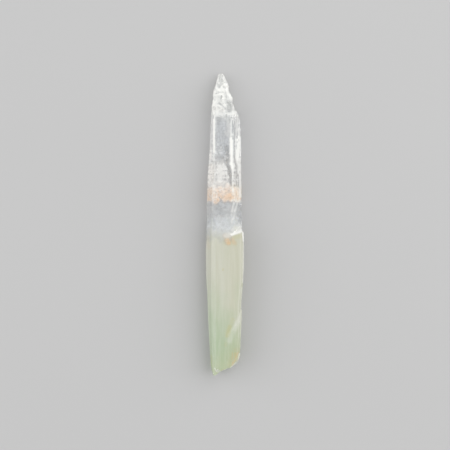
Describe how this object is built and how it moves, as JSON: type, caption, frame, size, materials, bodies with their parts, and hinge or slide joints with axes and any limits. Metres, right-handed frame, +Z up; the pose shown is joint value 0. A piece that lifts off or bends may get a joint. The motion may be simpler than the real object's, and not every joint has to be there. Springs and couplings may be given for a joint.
{
  "type": "quartz crystal point",
  "caption": "Slender natural quartz point, clear towards the tip and milky pale green towards the base, with an iron-stained band and broken ends, lying on a prism face.",
  "frame": {"origin": "middle of the crystal's footprint, on the surface it lies on", "axes": "+Y along the crystal to its tip, +Z up from the prism face it lies on"},
  "size_m": [0.0152, 0.1201, 0.0111],
  "materials": {
    "quartz": "natural vitreous faces, clear towards the tip, cloudy pale green below, frosty where broken"
  },
  "bodies": {
    "root": {"quartz_crystal": "quartz"}
  },
  "joints": []
}
